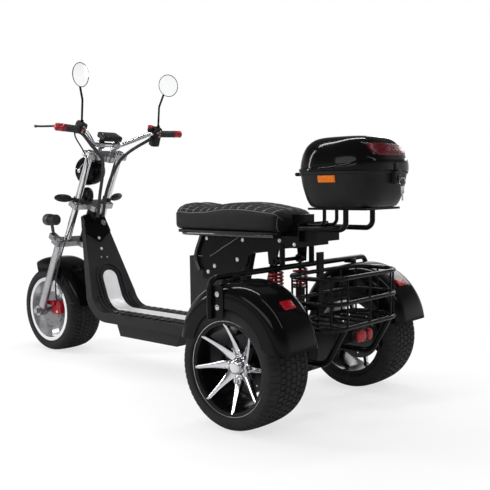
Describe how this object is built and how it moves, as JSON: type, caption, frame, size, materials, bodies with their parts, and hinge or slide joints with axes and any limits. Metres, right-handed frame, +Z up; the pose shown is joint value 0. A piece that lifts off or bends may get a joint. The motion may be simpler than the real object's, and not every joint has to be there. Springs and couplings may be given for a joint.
{
  "type": "three-wheeled electric scooter",
  "caption": "Three-wheeled electric scooter with fat tyres, raked fork, ribbed low deck, padded bench seat, lidded cargo box and wire basket between the rear fenders.",
  "frame": {"origin": "on the floor under the middle of the bounding box", "axes": "+X forward, +Y to the rider's left, +Z up"},
  "size_m": [2.267, 1.0146, 1.4199],
  "materials": {
    "black_frame": "gloss black powder coat",
    "axle_metal": "dark cast metal",
    "damper": "black",
    "red_metal": "red gloss",
    "black_plastic": "matt moulded",
    "gloss_black": "gloss",
    "tread_metal": "satin",
    "chrome": "bright",
    "fork_alloy": "satin",
    "seat_leather": "stitched imitation leather",
    "amber": "moulded reflector",
    "red_lens": "moulded lens",
    "mirror_face": "silvered",
    "lens": "clear",
    "tyre": "black road tyre",
    "front_alloy": "polished",
    "rear_alloy": "machined faces on black",
    "disc_steel": "ground"
  },
  "bodies": {
    "chassis": {"frame": "black_frame", "swing_arm": "black_frame", "rear_axle": "axle_metal", "shocks": "damper", "springs": "red_metal", "underdeck_box": "black_plastic", "deck": "black_plastic", "neck": "black_plastic", "tread_strip": "tread_metal", "neck_cap": "gloss_black", "key_switch": "chrome", "battery_case": "black_plastic", "seat_box": "black_frame", "seat_pan": "black_plastic", "seat_cushion": "seat_leather", "rack": "black_frame", "rack_plate": "black_frame", "box_tub": "gloss_black", "box_reflectors": "amber", "box_lock": "black_plastic", "fender_left": "gloss_black", "fender_right": "gloss_black", "fender_reflectors": "red_lens", "fender_hoop": "black_frame", "basket": "black_frame", "tail_lamp": "red_lens", "tail_bar": "black_frame", "rear_calipers": "axle_metal"},
    "lid": {"box_lid": "gloss_black", "lid_lens": "red_lens"},
    "steering": {"yokes": "fork_alloy", "fork_tubes": "chrome", "fork_legs": "fork_alloy", "front_axle": "chrome", "handlebar": "chrome", "grips": "black_plastic", "controls": "black_plastic", "brake_levers": "chrome", "display": "black_plastic", "mirrors": "gloss_black", "mirror_glass": "mirror_face", "headlamp": "chrome", "headlamp_lens": "lens", "horn": "chrome", "turn_signals": "chrome", "spot_lamps": "chrome", "front_fender": "gloss_black", "front_caliper": "red_metal", "control_cables": "black_plastic"},
    "front_wheel": {"front_tyre": "tyre", "front_rim": "front_alloy", "front_disc": "disc_steel"},
    "rear_wheel_left": {"tyre_left": "tyre", "rim_left": "rear_alloy", "disc_left": "disc_steel"},
    "rear_wheel_right": {"tyre_right": "tyre", "rim_right": "rear_alloy", "disc_right": "disc_steel"}
  },
  "joints": [
    {"name": "steering", "type": "hinge", "parent": "chassis", "child": "steering", "pos_m": [0.6552, 0, 0.66782], "axis": [-0.4462, 0, 0.8949], "range_deg": [-35, 35]},
    {"name": "front_wheel_spin", "type": "hinge", "parent": "steering", "child": "front_wheel", "pos_m": [0.9105, 0, 0.223], "axis": [0, 1, 0], "continuous": true},
    {"name": "rear_wheel_left_spin", "type": "hinge", "parent": "chassis", "child": "rear_wheel_left", "pos_m": [-0.7295, 0.373, 0.223], "axis": [0, 1, 0], "continuous": true},
    {"name": "rear_wheel_right_spin", "type": "hinge", "parent": "chassis", "child": "rear_wheel_right", "pos_m": [-0.7295, -0.373, 0.223], "axis": [0, 1, 0], "continuous": true},
    {"name": "lid_hinge", "type": "hinge", "parent": "chassis", "child": "lid", "pos_m": [-0.7615, 0, 0.896], "axis": [0, 1, 0], "range_deg": [0, 75]}
  ]
}
